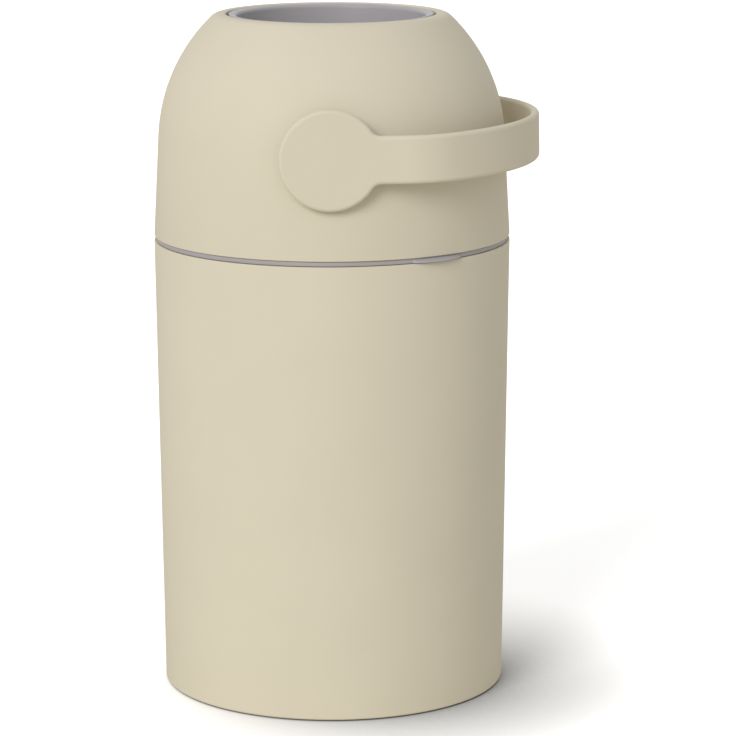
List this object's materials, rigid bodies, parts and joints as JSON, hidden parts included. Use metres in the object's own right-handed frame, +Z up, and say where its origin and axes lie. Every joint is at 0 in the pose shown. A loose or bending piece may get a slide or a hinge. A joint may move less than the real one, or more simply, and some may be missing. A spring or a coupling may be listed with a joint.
{
  "type": "nappy bin",
  "caption": "Tall round nappy bin with a lift-off domed head; a bail handle turns the drum under its round inlet to drop nappies into the bag in the bucket.",
  "frame": {"origin": "centre of the bin's base, on the face of its non-slip pad", "axes": "+Z up along the bin's axis; +X towards the resting handle; the drum and the handle turn about an axis along Y"},
  "size_m": [0.2813, 0.272, 0.4953],
  "materials": {
    "beige_plastic": "fine matte, moulded",
    "grey_plastic": "satin, moulded",
    "frame_plastic": "plain moulded, glass filled",
    "acetal": "natural white, smooth",
    "silicone": "soft, satin",
    "foot_rubber": "matte",
    "screw_steel": "zinc plated",
    "brass": "turned"
  },
  "bodies": {
    "bin": {"bin_body": "beige_plastic", "base_pad": "foot_rubber"},
    "bag_ring": {"bag_ring": "grey_plastic", "ring_gasket": "silicone"},
    "head": {"dome_cover": "beige_plastic", "inlet_collar": "grey_plastic", "collar_screws": "screw_steel", "chute_plate": "frame_plastic", "plate_screws": "screw_steel", "bearing_bracket_front": "frame_plastic", "bearing_bracket_back": "frame_plastic", "bracket_screws": "screw_steel", "upper_seal": "silicone", "upper_seal_retainer": "grey_plastic", "lower_seal": "silicone", "lower_seal_retainer": "grey_plastic", "bearing_bush_front": "acetal", "bearing_bush_back": "acetal", "hub_washer_front": "acetal", "hub_washer_back": "acetal"},
    "drum": {"drum_bowl": "grey_plastic", "drum_crown": "grey_plastic", "pivot_shaft_front": "frame_plastic", "pivot_shaft_back": "frame_plastic", "hub_screws": "screw_steel", "hub_caps": "grey_plastic", "stop_cams": "screw_steel", "thread_inserts": "brass", "handle_bail": "beige_plastic"}
  },
  "joints": [
    {"name": "ring_lift", "type": "slide", "parent": "bin", "child": "bag_ring", "axis": [0, 0, 1], "range_m": [0, 0.06]},
    {"name": "head_lift", "type": "slide", "parent": "bag_ring", "child": "head", "axis": [0, 0, 1], "range_m": [0, 0.15]},
    {"name": "drum_turn", "type": "hinge", "parent": "head", "child": "drum", "pos_m": [0, 0, 0.4058], "axis": [0, -1, 0], "range_deg": [0, 180]}
  ]
}
